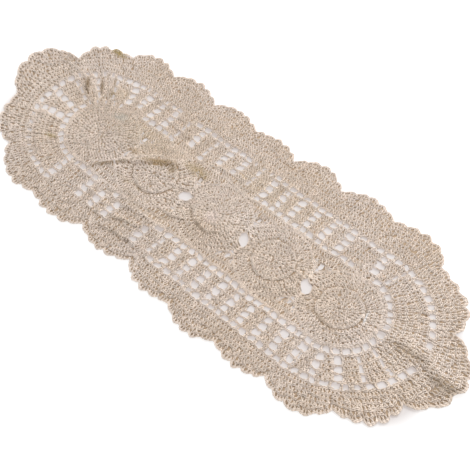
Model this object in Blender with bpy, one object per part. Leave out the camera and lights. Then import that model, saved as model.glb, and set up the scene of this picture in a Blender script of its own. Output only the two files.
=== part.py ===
"""Crochet table runner in natural cotton, lying on a table.

Five round medallions stand in a row. The surround is worked on round them: an inner mesh round,
three ladder rounds of treble blocks and holes, an outer mesh round, and a scalloped shell edging.
X runs along the runner, -Y is its front edge, and Z = 0 is the table top.
"""
import math

import bmesh
import bpy
from mathutils import Vector

MM = 0.001

# Driving sizes, in millimetres.
MEDALLION_COUNT = 5
MEDALLION_PITCH = 106.4
MEDALLION_RADIUS = 52.4
ROW_CENTRE_X = 4.6            # the row of medallions lies a little off the outline's centre
SEAM = 0.3                    # clearance between pieces that are worked together
SHEET = 2.0                   # thickness of the worked cotton
STRAIGHT = (MEDALLION_COUNT - 1) * MEDALLION_PITCH
HALF_STRAIGHT = STRAIGHT / 2

# A place on the surround is a way round it and a reach out from the row of medallions. The way
# runs 0-1 along the front, 1-2 round the right end, 2-3 along the back, 3-4 round the left end.
END_REACH = 60.0              # beyond this reach both ends are drawn out along the runner
END_STRETCH = 0.28
HAIR = 1e-6                   # just short of a way, or just past it

# The row of medallions isn't quite straight: where it lies, (along the runner, across it).
ROW_LINE = ((-404, 13), (-300, -4), (-208, -12), (-99, -13),
            (8.5, -10.5), (112, -9.2), (217, -6.5), (300, -2), (395, 1))

# Rounds with holes, (name, inner reach, outer reach, holes a side, holes an end, hole width).
HOLE_ROUNDS = (
    ("mesh", 56.5, 63.5, 32, 16, 9.2),
    ("ladder", 68.0, 76.0, 16, 10, 9.4),
    ("ladder", 79.2, 87.0, 16, 10, 9.4),
    ("ladder", 90.2, 97.5, 16, 10, 9.4),
    ("outer mesh", 100.8, 106.8, 32, 26, 9.0),
)

# Stretches where the fabric is bunched and the holes are squeezed shut, (round, from, to).
SHUT = (
    ("mesh", 0.13, 0.20), ("mesh", 0.225, 0.39), ("mesh", 2.00, 2.06), ("mesh", 2.455, 2.66),
    ("mesh", 2.70, 2.79), ("mesh", 2.95, 3.40),
    ("ladder", 0.05, 0.08), ("ladder", 0.30, 0.33), ("ladder", 0.42, 0.45),
    ("ladder", 1.48, 1.62), ("ladder", 2.04, 2.08), ("ladder", 2.49, 2.51),
    ("ladder", 2.68, 2.70), ("ladder", 2.80, 2.82), ("ladder", 3.19, 3.42),
    ("ladder", 3.69, 3.91),
    ("outer mesh", 0.03, 0.46), ("outer mesh", 1.49, 1.55), ("outer mesh", 2.45, 2.54),
    ("outer mesh", 2.80, 2.87), ("outer mesh", 2.93, 3.05), ("outer mesh", 3.20, 3.39),
    ("outer mesh", 3.62, 3.87),
)

# The shell edging's scallops: (way of its first notch, reach of that notch, reach of its crown).
SCALLOPS = (
    (0.015, 134, 143), (0.228, 122, 138), (0.426, 122, 143), (0.617, 135, 152),
    (0.805, 135, 146), (0.984, 129, 149), (1.190, 132, 143), (1.370, 128, 152),
    (1.643, 124, 144), (1.866, 139, 163), (2.065, 151, 166), (2.256, 144, 165),
    (2.450, 140, 160), (2.629, 148, 164), (2.811, 147, 165), (3.005, 145, 161),
    (3.173, 141, 147), (3.368, 131, 166), (3.604, 136, 146), (3.788, 130, 145),
)
LOBES_A_SCALLOP = 5
LOBE_DEPTH = 3.0
NOTCH_HALF_WIDTH = 0.035      # a notch's flat bottom, in parts of a scallop
SCALLOP_FULLNESS = 0.75       # below 1, a scallop rises steeply and is broad at its crown

# Solid rounds of the edging, (reach, points a side, points an end, thickness, room to the rim).
# Where a notch comes near, a round is drawn in and keeps its room.
EDGING_ROUNDS = (
    (116.5, 32, 26, 2.3, 14.0),
    (127.0, 32, 26, 1.8, 10.0),
)
SHELL_FOOT = 0.45             # where the shells are fullest, from the last round to the rim
LEAST_SHELL = 2.0             # what is left of the shells at a notch
SHELL_THICKNESS = 2.6
RIM_THICKNESS = 1.5

# A medallion's rounds of treble, (radius, thickness). The raised round stands proud.
MIDDLE_THICKNESS = 1.6
MEDALLION_ROUNDS = ((5.0, 2.3), (10.0, 1.7), (15.0, 2.3), (21.5, 1.8), (26.8, 4.0),
                    (31.5, 1.8), (37.5, 2.4), (43.5, 1.8))

# A medallion's rim points in a quarter turn, in degrees from the row. Towards a neighbour two
# of them are joined on the line between the medallions, and two others are drawn in: the first
# leaves the diamond hole on the row, the second a hole by the surround's point.
RIM_TURNS = (0, 9, 21, 33, 45, 60, 75, 90)
JOINED_TURNS = (9, 21)
DRAWN_IN = {0: 47.8, 33: 50.2}
WINDOW_TURNS = (45, 60, 75, 90, 105, 120, 135)   # the surround's points past a medallion
CUSP_REACH = 27.5             # how near the surround's point comes to the row, at a join
CUSP_HALF_WIDTH = 2.6

# Folds and swellings, soft ridges on the table: (from x, y, to x, y, spread, height).
FOLD_SKIRT = 2.2              # where a ridge meets the table, in spreads
FOLDS = (
    (-183, -59, -131, -14, 11, 4.5),
    (-131, -14, -84, 16, 11, 5.0),
    (0, -4, 20, -16, 26, 6.0),
    (-233, -50, -168, -63, 13, 3.0),
    (-100, -68, -36, -76, 10, 4.5),
    (-262, 22, -318, 42, 9, 4.5),
    (-248, 46, -300, 78, 10, 4.0),
    (283, 5, 388, 0, 12, 4.5),
    (-318, 112, -338, 106, 16, 5.0),
    (-150, 96, -60, 104, 16, 2.5),
    (30, -128, 110, -140, 18, 2.5),
    (-60, 36, 6, 52, 13, 3.0),
)

# Where the fabric is pulled off its lines, (x, y, pull along, pull across, spread).
TUGS = (
    (-55, -66, 2, -7, 30),
    (-20, -52, 3, 5, 22),
    (120, 70, -5, 0, 45),
    (-250, 60, 6, -5, 30),
    (30, -80, 6, 0, 45),
    (-45, -13, 4, 0, 30),
    (60, -8, 3, -2, 14),
    (165, -4, 3, -3, 14),
)

COTTON_COLOUR = (0.66, 0.56, 0.45, 1.0)
COTTON_ROUGHNESS = 0.92
SHARP_DEGREES = 40


def row_line(x):
    """How far across the runner the row of medallions lies at x, on a smooth curve."""
    rows = ROW_LINE
    if x <= rows[0][0]:
        return rows[0][1]
    for i in range(len(rows) - 1):
        if x <= rows[i + 1][0]:
            before = rows[max(i - 1, 0)]
            after = rows[min(i + 2, len(rows) - 1)]
            (x0, y0), (x1, y1) = rows[i], rows[i + 1]
            span = x1 - x0
            slope0 = (y1 - before[1]) / (x1 - before[0]) * span
            slope1 = (after[1] - y0) / (after[0] - x0) * span
            t = (x - x0) / span
            return (y0 * (2 * t**3 - 3 * t**2 + 1) + slope0 * (t**3 - 2 * t**2 + t)
                    + y1 * (3 * t**2 - 2 * t**3) + slope1 * (t**3 - t**2))
    return rows[-1][1]


def settle(x, y):
    """Move a point of the even layout to where the runner really lies, pulled out of true."""
    x += ROW_CENTRE_X
    y += row_line(x)
    shift_x = shift_y = 0.0
    for tug_x, tug_y, along, across, spread in TUGS:
        pull = math.exp(-((x - tug_x)**2 + (y - tug_y)**2) / (2 * spread**2))
        shift_x += along * pull
        shift_y += across * pull
    return x + shift_x, y + shift_y


def lift(x, y):
    """Height of the fabric's underside over the table: the highest fold there."""
    height = 0.0
    for x0, y0, x1, y1, spread, rise in FOLDS:
        run_x, run_y = x1 - x0, y1 - y0
        along = ((x - x0) * run_x + (y - y0) * run_y) / (run_x**2 + run_y**2)
        along = min(max(along, 0.0), 1.0)
        off = math.hypot(x - x0 - along * run_x, y - y0 - along * run_y) / spread
        height = max(height, rise * max(0.0, 1.0 - (off / FOLD_SKIRT)**2)**2)
    return height


def spot(way, reach):
    """Lay out a point of the surround from its way round and its reach, in the even layout."""
    side, along = divmod(way % 4.0, 1.0)
    if side == 0:
        return along * STRAIGHT - HALF_STRAIGHT, -reach
    if side == 2:
        return HALF_STRAIGHT - along * STRAIGHT, reach
    angle = math.pi * (along - 0.5)
    far = reach + max(reach - END_REACH, 0.0) * END_STRETCH * math.cos(angle)**2
    if side == 1:
        return HALF_STRAIGHT + far * math.cos(angle), far * math.sin(angle)
    return -HALF_STRAIGHT - far * math.cos(angle), -far * math.sin(angle)


def pace(way, reach):
    """Millimetres of a round for a whole side of the way."""
    return STRAIGHT if int(way % 4.0) % 2 == 0 else math.pi * reach


def ways_round(side_count, end_count):
    """Evenly spaced ways, so many a side and so many an end."""
    ways = []
    for side in range(4):
        count = end_count if side % 2 else side_count
        ways += [side + k / count for k in range(count)]
    return ways


def is_shut(name, way):
    return any(name == row and start <= way % 4.0 <= end for row, start, end in SHUT)


def hole_ways(name, reach, side_count, end_count, width):
    """Ways of a holed round's points, and of the pairs among them that bound an open hole."""
    ways = []
    holes = []
    for centre in ways_round(side_count, end_count):
        if is_shut(name, centre):
            ways.append(centre)
            continue
        start = centre - width / 2 / pace(centre - HAIR, reach)
        end = centre + width / 2 / pace(centre + HAIR, reach)
        holes.append(len(ways))
        ways += [start, end]
    return ways, holes


class Fabric:
    """One worked piece: its underside is laid out flat, then given its thickness."""

    def __init__(self):
        self.bm = bmesh.new()
        self.thickness = self.bm.verts.layers.float.new("thickness")

    def point(self, x, y, thickness=SHEET):
        """Lay down one point of the underside."""
        x, y = settle(x, y)
        vert = self.bm.verts.new((x * MM, y * MM, lift(x, y) * MM))
        vert[self.thickness] = thickness
        return vert

    def join(self, inner, outer):
        """Fill between two rounds of (way, vert), always along the shorter diagonal."""
        i = j = 0
        while i < len(inner) or j < len(outer):
            a, a_next = inner[i % len(inner)], inner[(i + 1) % len(inner)]
            b, b_next = outer[j % len(outer)], outer[(j + 1) % len(outer)]
            step_inner = (a_next[1].co - b[1].co).length
            step_outer = (b_next[1].co - a[1].co).length
            if i < len(inner) and (j >= len(outer) or step_inner < step_outer):
                self.bm.faces.new((a[1], b[1], a_next[1]))
                i += 1
            else:
                self.bm.faces.new((a[1], b[1], b_next[1]))
                j += 1

    def join_posts(self, inner, outer, holes):
        """Fill a holed round with its posts and leave its holes open."""
        count = len(inner)
        for k in range(count):
            if k not in holes:
                after = (k + 1) % count
                self.bm.faces.new((inner[k][1], outer[k][1], outer[after][1], inner[after][1]))

    def finish(self, name, material):
        """Raise the upper side, close the edges and make the object."""
        self.bm.normal_update()
        for face in self.bm.faces:
            if face.normal.z > 0:
                face.normal_flip()
        raised = bmesh.ops.extrude_face_region(self.bm, geom=self.bm.faces[:], use_keep_orig=True)
        for item in raised["geom"]:
            if isinstance(item, bmesh.types.BMVert):
                item.co.z += item[self.thickness] * MM
        bmesh.ops.recalc_face_normals(self.bm, faces=self.bm.faces[:])
        mesh = bpy.data.meshes.new(name)
        self.bm.to_mesh(mesh)
        self.bm.free()
        mesh.shade_smooth()
        mesh.set_sharp_from_angle(angle=math.radians(SHARP_DEGREES))
        piece = bpy.data.objects.new(name, mesh)
        piece.data.materials.append(material)
        bpy.context.collection.objects.link(piece)
        return piece


def cotton():
    """Undyed matt cotton yarn."""
    material = bpy.data.materials.new("cotton")
    material.use_nodes = True
    shader = material.node_tree.nodes["Principled BSDF"]
    shader.inputs["Base Color"].default_value = COTTON_COLOUR
    shader.inputs["Roughness"].default_value = COTTON_ROUGHNESS
    shader.inputs["Metallic"].default_value = 0.0
    return material


def rim_turns():
    """A medallion's rim points all the way round, in degrees."""
    half = RIM_TURNS + tuple(180 - turn for turn in reversed(RIM_TURNS[:-1]))
    return half + tuple(360 - turn for turn in reversed(half[1:-1]))


def rim_radius(turn, has_right, has_left):
    """A medallion's radius at a turn, drawn in or out where it meets a neighbour."""
    off_row = min(turn % 180, 180 - turn % 180)
    faces_right = turn < 90 or turn > 270
    if not (has_right if faces_right else has_left):
        return MEDALLION_RADIUS
    if off_row in JOINED_TURNS:
        return (MEDALLION_PITCH - SEAM) / 2 / math.cos(math.radians(off_row))
    return DRAWN_IN.get(off_row, MEDALLION_RADIUS)


def medallion(number, material):
    """One round of the row: treble rounds from the middle out, one of them raised."""
    centre_x = number * MEDALLION_PITCH - HALF_STRAIGHT
    has_left = number > 0
    has_right = number < MEDALLION_COUNT - 1
    turns = rim_turns()
    count = len(turns)
    fabric = Fabric()

    def ring(radii, thickness):
        points = []
        for turn, radius in zip(turns, radii):
            angle = math.radians(turn)
            x = centre_x + radius * math.cos(angle)
            points.append(fabric.point(x, radius * math.sin(angle), thickness))
        return points

    middle = fabric.point(centre_x, 0.0, MIDDLE_THICKNESS)
    rounds = [ring([radius] * count, thickness) for radius, thickness in MEDALLION_ROUNDS]
    rounds.append(ring([rim_radius(turn, has_right, has_left) for turn in turns], RIM_THICKNESS))
    for k in range(count):
        after = (k + 1) % count
        fabric.bm.faces.new((middle, rounds[0][k], rounds[0][after]))
        for inner, outer in zip(rounds, rounds[1:]):
            fabric.bm.faces.new((inner[k], outer[k], outer[after], inner[after]))
    return fabric.finish(f"medallion_{number + 1}", material)


def window_side(side, number):
    """Past one medallion on one long side, then the point into the join: places (x, y)."""
    sign = -1 if side == 0 else 1
    centre_x = number * MEDALLION_PITCH - HALF_STRAIGHT
    radius = MEDALLION_RADIUS + SEAM
    places = []
    for turn in WINDOW_TURNS:
        angle = math.radians(turn)
        x = centre_x + sign * radius * math.cos(angle)
        if abs(x) < HALF_STRAIGHT + SEAM:
            places.append((x, sign * radius * math.sin(angle)))
    last = MEDALLION_COUNT - 1 if side == 0 else 0
    if number != last:
        join_x = centre_x - sign * MEDALLION_PITCH / 2
        places += [(join_x + sign * CUSP_HALF_WIDTH, sign * CUSP_REACH),
                   (join_x - sign * CUSP_HALF_WIDTH, sign * CUSP_REACH)]
    return places


def window_round(fabric):
    """The surround's inner edge: an arc past each medallion and a point into each join."""
    radius = MEDALLION_RADIUS + SEAM
    end_turns = [-turn for turn in reversed(RIM_TURNS[1:-1])] + list(RIM_TURNS[:-1])
    points = []
    for side in (0, 2):
        sign = -1 if side == 0 else 1
        numbers = range(MEDALLION_COUNT)
        for number in numbers if side == 0 else reversed(numbers):
            for x, y in window_side(side, number):
                way = side + (HALF_STRAIGHT - sign * x) / STRAIGHT
                points.append((way, fabric.point(x, y)))
        for turn in end_turns:
            angle = math.radians(turn)
            x = -sign * (HALF_STRAIGHT + radius * math.cos(angle))
            y = -sign * radius * math.sin(angle)
            points.append((side + 1.5 + turn / 180, fabric.point(x, y)))
    return points


def scallop_reach(k, part):
    """How far the rim stands out at a part of the way along a scallop, and its bulge there."""
    _, notch, crown = SCALLOPS[k]
    next_notch = SCALLOPS[(k + 1) % len(SCALLOPS)][1]
    low = notch + (next_notch - notch) * part
    bulge = math.sin(math.pi * part)
    return low + (crown - low) * bulge**SCALLOP_FULLNESS, bulge


def edging_reach(way, reach, room):
    """A solid round's reach at a way, drawn in to keep its room to the rim."""
    for k, (start, _, _) in enumerate(SCALLOPS):
        end = SCALLOPS[(k + 1) % len(SCALLOPS)][0]
        part = ((way - start) % 4.0) / ((end - start) % 4.0)
        if part < 1.0:
            return min(reach, scallop_reach(k, part)[0] - room)
    return reach


def rim_round(fabric):
    """The shell edging's scalloped rim, and the line inside it where the shells are fullest."""
    last_reach = EDGING_ROUNDS[-1][0]
    steps = LOBES_A_SCALLOP * 2
    foot = []
    rim = []
    for k, (start, _, _) in enumerate(SCALLOPS):
        span = (SCALLOPS[(k + 1) % len(SCALLOPS)][0] - start) % 4.0
        for step in range(steps + 1):
            reach, bulge = scallop_reach(k, step / steps)
            if step % 2 == 0:
                reach -= LOBE_DEPTH * bulge
            part = min(max(step / steps, NOTCH_HALF_WIDTH), 1 - NOTCH_HALF_WIDTH)
            here = start + span * part
            rim.append((here, fabric.point(*spot(here, reach), RIM_THICKNESS)))
            if step % 2 == 0:
                base = min(last_reach, reach - LEAST_SHELL)
                inside = base + (reach - base) * SHELL_FOOT
                foot.append((here, fabric.point(*spot(here, inside), SHELL_THICKNESS)))
    return foot, rim


def surround(material):
    """Everything worked round the medallions, as one fabric."""
    fabric = Fabric()
    last = window_round(fabric)
    for name, inner_reach, outer_reach, side_count, end_count, width in HOLE_ROUNDS:
        middle = (inner_reach + outer_reach) / 2
        ways, holes = hole_ways(name, middle, side_count, end_count, width)
        inner = [(way, fabric.point(*spot(way, inner_reach))) for way in ways]
        outer = [(way, fabric.point(*spot(way, outer_reach))) for way in ways]
        fabric.join(last, inner)
        fabric.join_posts(inner, outer, holes)
        last = outer
    for reach, side_count, end_count, thickness, room in EDGING_ROUNDS:
        solid = []
        for way in ways_round(side_count, end_count):
            drawn = edging_reach(way, reach, room)
            solid.append((way, fabric.point(*spot(way, drawn), thickness)))
        fabric.join(last, solid)
        last = solid
    foot, rim = rim_round(fabric)
    fabric.join(last, foot)
    fabric.join(foot, rim)
    return fabric.finish("surround", material)


def centre_on_origin(pieces):
    """Put the middle of the whole outline over the origin and the lowest point on Z = 0."""
    points = [vert.co for piece in pieces for vert in piece.data.vertices]
    low = Vector([min(p[k] for p in points) for k in range(3)])
    high = Vector([max(p[k] for p in points) for k in range(3)])
    shift = Vector((-(low.x + high.x) / 2, -(low.y + high.y) / 2, -low.z))
    for piece in pieces:
        for vert in piece.data.vertices:
            vert.co += shift


for old in list(bpy.data.objects):
    bpy.data.objects.remove(old)
yarn = cotton()
worked = [medallion(number, yarn) for number in range(MEDALLION_COUNT)]
worked.append(surround(yarn))
centre_on_origin(worked)
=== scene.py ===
import math

import bmesh
import bpy
import numpy as np
from mathutils import Matrix, Vector


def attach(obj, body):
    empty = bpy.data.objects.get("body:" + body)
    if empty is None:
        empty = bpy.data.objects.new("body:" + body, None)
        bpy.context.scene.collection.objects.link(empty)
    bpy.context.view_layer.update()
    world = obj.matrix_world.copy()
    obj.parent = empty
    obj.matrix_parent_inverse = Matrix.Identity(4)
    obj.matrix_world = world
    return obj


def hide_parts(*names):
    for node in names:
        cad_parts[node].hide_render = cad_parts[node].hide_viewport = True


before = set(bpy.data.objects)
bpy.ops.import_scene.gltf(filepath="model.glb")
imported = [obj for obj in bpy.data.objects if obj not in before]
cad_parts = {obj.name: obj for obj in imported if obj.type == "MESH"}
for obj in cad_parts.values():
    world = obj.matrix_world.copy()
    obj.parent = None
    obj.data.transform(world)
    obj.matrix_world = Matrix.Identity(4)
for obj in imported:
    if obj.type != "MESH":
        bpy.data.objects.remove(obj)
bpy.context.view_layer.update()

# ---------------------------------------------------------------------------------------------
# The table top, the light and the camera. The runner lies spread out on a white top that glows a
# little, with painted shade in pinkish grey under the runner, and is seen from its front right at a
# steep angle. Soft light comes over it from behind, so that its folds and raised rounds throw a
# little shade towards the front edge.

LOOK_AT = Vector((0.05165, -0.01077, 0.0))
VIEW_TURN, VIEW_HEIGHT, VIEW_DISTANCE = math.radians(42.63), math.radians(56.0), 1.1388
towards_camera = Vector((math.sin(VIEW_TURN) * math.cos(VIEW_HEIGHT),
                         -math.cos(VIEW_TURN) * math.cos(VIEW_HEIGHT),
                         math.sin(VIEW_HEIGHT)))
camera = bpy.data.objects.new("camera", bpy.data.cameras.new("camera"))
camera.data.lens = 66.64
camera.data.sensor_width = 36.0
camera.location = LOOK_AT + towards_camera * VIEW_DISTANCE
camera.rotation_euler = towards_camera.to_track_quat("Z", "Y").to_euler()
bpy.context.collection.objects.link(camera)
bpy.context.scene.camera = camera
bpy.context.scene.view_settings.view_transform = "Standard"


def node(tree, kind, settings=(), **inputs):
    """Add a shader node, with plain values or other nodes' outputs on its inputs, by name or number."""
    made = tree.nodes.new(kind)
    for name, value in dict(settings).items():
        setattr(made, name, value)
    for name, value in inputs.items():
        socket = made.inputs[int(name[1:]) if name[1:].isdigit() else name.replace("_", " ")]
        if isinstance(value, bpy.types.NodeSocket):
            tree.links.new(value, socket)
        else:
            socket.default_value = value
    return made


# the top's own soft glow: a pinkish grey under the runner, painted shade which shows in its holes,
# and white all round it; and the middle and the half length and width of the grey part
PAINTED_SHADE_UNDER_RUNNER, ALL_ROUND = (0.46, 0.41, 0.39), (0.79, 0.78, 0.77)
GREY_MIDDLE, GREY_HALF_SIZE = (0.009, -0.010, 0), (0.37, 0.12, 1)

top_shape = bmesh.new()
bmesh.ops.create_grid(top_shape, x_segments=1, y_segments=1, size=3.0)
table_top = bpy.data.objects.new("table_top", bpy.data.meshes.new("table_top"))
top_shape.to_mesh(table_top.data)
top_shape.free()
white_top = bpy.data.materials.new("white table top")
white_top.use_nodes = True
tree = white_top.node_tree
surface = tree.nodes["Principled BSDF"]
surface.inputs["Base Color"].default_value = (0.35, 0.35, 0.35, 1)
surface.inputs["Roughness"].default_value = 0.9
surface.inputs["Specular IOR Level"].default_value = 0.1
surface.inputs["Emission Strength"].default_value = 1.0
# the painted shade under the runner fades into the white glow past the edge of an oval
oval = node(tree, "ShaderNodeMapping", {"vector_type": "TEXTURE"}, Location=GREY_MIDDLE,
            Vector=node(tree, "ShaderNodeTexCoord").outputs["Object"], Scale=GREY_HALF_SIZE)
squared = node(tree, "ShaderNodeVectorMath", {"operation": "MULTIPLY"}, _0=oval.outputs[0],
               _1=oval.outputs[0])
reach = node(tree, "ShaderNodeVectorMath", {"operation": "LENGTH"}, _0=squared.outputs[0])
past = node(tree, "ShaderNodeMapRange", Value=reach.outputs["Value"], From_Min=0.93, From_Max=1.02)
glow = node(tree, "ShaderNodeMix", {"data_type": "RGBA"}, _0=past.outputs["Result"],
            _6=(*PAINTED_SHADE_UNDER_RUNNER, 1), _7=(*ALL_ROUND, 1))
tree.links.new(glow.outputs[2], surface.inputs["Emission Color"])
table_top.data.materials.append(white_top)
bpy.context.collection.objects.link(table_top)

lamp = bpy.data.objects.new("soft_lamp", bpy.data.lights.new("soft_lamp", "SUN"))
lamp.data.energy = 1.30
lamp.data.angle = math.radians(32)
lamp.rotation_euler = Vector((-0.26, 0.55, 0.95)).to_track_quat("Z", "Y").to_euler()
bpy.context.collection.objects.link(lamp)
window_light = bpy.data.objects.new("window_light", bpy.data.lights.new("window_light", "AREA"))
window_light.data.energy = 7.6
window_light.data.size = 1.2
window_light.location = (0.25, 0.85, 0.75)
window_light.rotation_euler = Vector((0.1, 0.75, 0.75)).to_track_quat("Z", "Y").to_euler()
bpy.context.collection.objects.link(window_light)
room = bpy.data.worlds.new("room")
room.use_nodes = True
room.node_tree.nodes["Background"].inputs["Color"].default_value = (0.95, 0.96, 1.0, 1)
room.node_tree.nodes["Background"].inputs["Strength"].default_value = 0.497
bpy.context.scene.world = room

# ---------------------------------------------------------------------------------------------
# The five medallions. Soft undyed cotton yarn is worked in rounds of half treble from a ring at the
# middle, and on three of them one narrow round is a chain that stands proud of the rest. They lie
# in a row, a little out of true, with folds where the runner was put down and not smoothed out.

# sizes are in millimetres, with x along the runner and y across it to the back
MM = 0.001
PITCH = 106.4                 # from one medallion's middle to the next
MEDALLION = 52.4              # a medallion's radius
LEVEL = 1.35                  # from the underside of the work to the middle of its thickness
ROW_CENTRE_X = 4.6            # the row lies a little off the outline's centre
SET_OVER = np.array((4.26, 1.97))   # from the layout's own centre to the outline's

# where the row of medallions lies: (along the runner, across it)
ROW_LINE = np.array(((-404, 13), (-300, -4), (-208, -12), (-99, -13), (8.5, -10.5),
                     (112, -9.2), (217, -6.5), (300, -2), (395, 1)), float)

# where the work is pulled off its lines: (x, y, pull along, pull across, spread)
TUGS = ((-55, -66, 2, -7, 30), (-20, -52, 3, 5, 22), (120, 70, -5, 0, 45), (-250, 60, 6, -5, 30),
        (30, -80, 6, 0, 45), (-45, -13, 4, 0, 30), (60, -8, 3, -2, 14), (165, -4, 3, -3, 14),
        (58, 3, -5, 2, 9), (58, -20, 5, -2, 9), (164, 5, -5, 2, 9), (164, -18, 5, -2, 9))

# soft folds, the same all round: (from x, y, to x, y, spread, height)
FOLD_SKIRT, SETTLED = 2.2, 0.7   # how far a fold runs out, and how much of its height is left
FOLDS = ((-183, -59, -131, -14, 11, 4.5), (-131, -14, -84, 16, 11, 5.0), (0, -4, 20, -16, 26, 6.0),
         (-233, -50, -168, -63, 13, 3.0), (-100, -68, -36, -76, 10, 4.5), (-262, 22, -318, 42, 9, 4.5),
         (-248, 46, -300, 78, 10, 4.0), (283, 5, 388, 0, 12, 4.5), (-318, 112, -338, 106, 16, 5.0),
         (-150, 96, -60, 104, 16, 2.5), (30, -128, 110, -140, 18, 2.5), (-60, 36, 6, 52, 13, 3.0))

# sharper creases, steep on the right of their run and easy on the left, which fade at their ends:
# (from x, y, to x, y, steep width, easy width, height)
END_RISE, FADE = 0.3, 4       # a crease's share of its height at an end, and how fast it grows
CREASES = ((-178, -68, -141, -24, 2.6, 10, 2.6), (-147, -30, -82, 20, 3.5, 15, 3.8),
           (-82, -68, -4, -36, 5.0, 14, 2.6),
           (-310, 47, -279, 24, 3.0, 9, 2.4), (-300, 50, -279, 22, 3.0, 8, 2.8),
           (-284, 60, -261, 34, 3.0, 8, 2.6), (-272, 76, -254, 56, 3.0, 8, 2.2),
           (300, 8, 340, 3, 7.0, 14, 2.0), (330, 6, 368, -6, 10.0, 16, 2.2),
           (356, -5, 398, -1, 11.0, 17, 2.8),
           (176, 88, 216, 88, 4.0, 12, 1.6), (-292, -66, -232, -112, 4.0, 14, 1.6),
           (-60, -112, 10, -122, 4.0, 14, 1.6), (120, -118, 190, -112, 4.0, 14, 1.4),
           (20, 88, 96, 92, 4.0, 14, 1.6), (-196, 84, -130, 80, 4.0, 12, 1.8),
           (262, 88, 300, 60, 4.0, 12, 1.6), (270, -96, 306, -74, 4.0, 12, 1.6),
           (-102, -124, -36, -113, 2.5, 8, 2.4), (-111, -110, -37, -86, 2.5, 8, 2.6),
           (-98, -82, -48, -74, 2.5, 7, 2.0), (-130, -114, -87, -110, 2.5, 7, 2.2),
           (-152, -92, -100, -98, 2.5, 7, 1.8), (-84, -100, -30, -100, 2.5, 7, 2.0),
           (-60, 46, 6, 60, 3.0, 9, 1.8), (-30, 64, 44, 74, 3.0, 9, 1.6),
           (-180, 52, -120, 44, 3.0, 9, 2.0), (-160, 66, -90, 62, 3.0, 9, 1.6),
           (150, 44, 206, 60, 3.0, 9, 1.6), (232, 92, 274, 72, 3.0, 9, 1.6))

# waves over the whole of it, where the hand's tension varied: (length, turn in degrees, start,
# sway, rise), how far the sway lags, and the height that the waves rise and fall about
WAVES = ((61, 20, 0.3, 0.5, 0.30), (43, 75, 1.9, 0.5, 0.24), (83, 130, 4.1, 0.7, 0.34),
         (29, 160, 2.2, 0.5, 0.16), (37, 48, 5.0, 0.5, 0.20), (19, 105, 0.9, 0.45, 0.12),
         (13.7, 31, 3.1, 0.42, 0.10), (16.3, 148, 5.7, 0.45, 0.08), (11.1, 84, 1.2, 0.34, 0.06),
         (9.3, 3, 4.4, 0.26, 0.05))
SWAY_LAG, SWELL = 1.3, 0.35
# towards the long edges the runner lies flatter: from and to, across it, and how much of the waves
# and of the folds is gone there
FLAT_FROM, FLAT_TO, WAVES_GONE, FOLDS_GONE = 112.0, 150.0, 0.75, 0.6


def row_line(x):
    """How far across the runner the row of medallions lies, on a smooth curve."""
    xs, ys = ROW_LINE.T
    slopes = np.gradient(ys, xs)
    slopes[1:-1] = (ys[2:] - ys[:-2]) / (xs[2:] - xs[:-2])
    at = np.clip(x, xs[0], xs[-1])
    i = np.clip(np.searchsorted(xs, at) - 1, 0, len(xs) - 2)
    span = xs[i + 1] - xs[i]
    t = (at - xs[i]) / span
    return (ys[i] * (2 * t**3 - 3 * t**2 + 1) + slopes[i] * span * (t**3 - 2 * t**2 + t)
            + ys[i + 1] * (3 * t**2 - 2 * t**3) + slopes[i + 1] * span * (t**3 - t**2))


def lie(x, y):
    """Lay a point of the even layout on the table: where it comes, and how high its underside is."""
    x = x + ROW_CENTRE_X
    y = y + row_line(x)
    pulls = [np.exp(-((x - tx)**2 + (y - ty)**2) / (2 * spread**2)) for tx, ty, _, _, spread in TUGS]
    x, y = (x + sum(tug[2] * pull for tug, pull in zip(TUGS, pulls)),
            y + sum(tug[3] * pull for tug, pull in zip(TUGS, pulls)))
    height = np.zeros_like(x)
    for x0, y0, x1, y1, spread, rise in FOLDS:
        run = np.array((x1 - x0, y1 - y0), float)
        along = np.clip(((x - x0) * run[0] + (y - y0) * run[1]) / (run @ run), 0, 1)
        off = np.hypot(x - x0 - along * run[0], y - y0 - along * run[1]) / spread
        height = np.maximum(height, SETTLED * rise * np.clip(1 - (off / FOLD_SKIRT)**2, 0, 1)**2)
    for x0, y0, x1, y1, steep, easy, rise in CREASES:
        length = math.hypot(x1 - x0, y1 - y0)
        ux, uy = (x1 - x0) / length, (y1 - y0) / length
        along = ((x - x0) * ux + (y - y0) * uy) / length
        off = (x - x0) * uy - (y - y0) * ux
        wide = np.where(off > 0, steep, easy)
        ends = np.clip(END_RISE + FADE * np.minimum(along, 1 - along), 0, 1)
        height = height + rise * ends * np.clip(1 - (off / wide)**2, 0, 1)**2
    swell = SWELL
    for length, turn, start, sway, rise in WAVES:
        angle = math.radians(turn)
        phase = (x * math.cos(angle) + y * math.sin(angle)) * 2 * math.pi / length + start
        swell = swell + rise * np.sin(phase)
        x = x + sway * np.sin(phase + SWAY_LAG) * math.sin(angle)
        y = y + sway * np.sin(phase + SWAY_LAG) * math.cos(angle)
    flat = np.clip((np.abs(y) - FLAT_FROM) / (FLAT_TO - FLAT_FROM), 0, WAVES_GONE)
    height = height * (1 - FOLDS_GONE * flat) + np.clip(swell, 0, None) * (1 - flat)
    return np.stack((x + SET_OVER[0], y + SET_OVER[1], height), -1)


# a medallion's worked surface rises to a lip and falls again: (from, highest, to), by radius, and
# the lip's height on each
LIP_FROM, LIP_TOP, LIP_END = 21.0, 28.2, 30.6
LIP_HEIGHTS = (0.2, 1.6, 1.0, 0.8, 0.8)
# a raised chain: its radius, its height, half its width, and those that have it, counted from 0
RIDGE_LINE, RIDGE_HEIGHT, RIDGE_REACH, RIDGED = 29.6, 0.4, 1.2, (1, 3, 4)
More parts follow.
